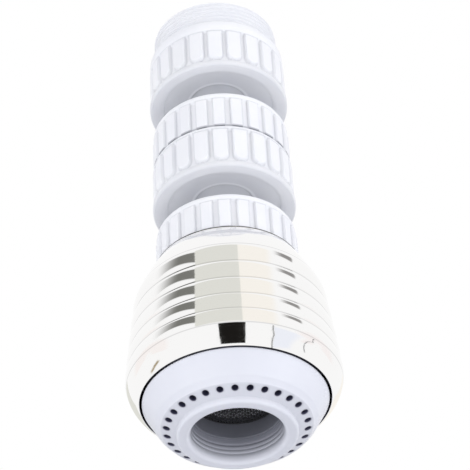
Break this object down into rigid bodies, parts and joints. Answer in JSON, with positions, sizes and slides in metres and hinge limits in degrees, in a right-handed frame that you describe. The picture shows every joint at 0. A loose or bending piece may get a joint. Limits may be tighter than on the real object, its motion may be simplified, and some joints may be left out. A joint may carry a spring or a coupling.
{
  "type": "swivel faucet aerator",
  "caption": "Faucet aerator with a threaded inlet, a white ribbed neck on ball joints, and a stepped chrome bell head whose spray face turns between stream and spray.",
  "frame": {"origin": "centre of the plane that the outlet lip stands on, on the common axis", "axes": "+Z along the common axis, from the outlet lip up to the inlet thread"},
  "size_m": [0.038, 0.038, 0.0933],
  "materials": {
    "white_plastic": "moulded white plastic, smooth and slightly glossy",
    "inner_plastic": "moulded grey-white plastic, satin",
    "chrome_plate": "bright chrome plating on plastic",
    "seal_rubber": "smooth black rubber",
    "stainless_steel": "plain stainless steel"
  },
  "bodies": {
    "inlet": {"inlet_adapter": "white_plastic", "inlet_filter": "inner_plastic", "inlet_washer": "seal_rubber", "upper_socket_nut": "white_plastic"},
    "upper_swivel": {"upper_ball_seal": "seal_rubber"},
    "middle": {"upper_ball_stud": "white_plastic", "upper_stud_seal": "seal_rubber", "middle_coupling": "white_plastic", "lower_socket_nut": "white_plastic"},
    "lower_swivel": {"lower_ball_seal": "seal_rubber"},
    "head": {"lower_ball_stud": "white_plastic", "lower_stud_seal": "seal_rubber", "head_coupling": "white_plastic", "head_shell": "chrome_plate", "head_housing": "inner_plastic", "head_gasket": "seal_rubber", "port_plate": "inner_plastic", "right_port_seal": "seal_rubber", "left_port_seal": "seal_rubber", "detent_ball": "stainless_steel", "detent_spring": "stainless_steel", "face_ring": "seal_rubber", "centre_screw": "stainless_steel", "screw_washer": "stainless_steel"},
    "face": {"distributor_disc": "inner_plastic", "spray_face": "white_plastic", "aerator_sleeve": "inner_plastic", "fine_screen": "stainless_steel", "screen_spacer": "inner_plastic", "coarse_screen": "stainless_steel", "jet_plate": "inner_plastic"}
  },
  "joints": [
    {"name": "upper_turn", "type": "hinge", "parent": "inlet", "child": "upper_swivel", "pos_m": [0, 0, 0.08093], "axis": [0, 0, 1], "continuous": true},
    {"name": "upper_tilt", "type": "hinge", "parent": "upper_swivel", "child": "middle", "pos_m": [0, 0, 0.08093], "axis": [1, 0, 0], "range_deg": [-20, 20]},
    {"name": "lower_turn", "type": "hinge", "parent": "middle", "child": "lower_swivel", "pos_m": [0, 0, 0.05563], "axis": [0, 0, 1], "continuous": true},
    {"name": "lower_tilt", "type": "hinge", "parent": "lower_swivel", "child": "head", "pos_m": [0, 0, 0.05563], "axis": [1, 0, 0], "range_deg": [-20, 20]},
    {"name": "face_turn", "type": "hinge", "parent": "head", "child": "face", "pos_m": [0, 0, 0.007], "axis": [0, 0, 1], "range_deg": [0, 90]}
  ]
}
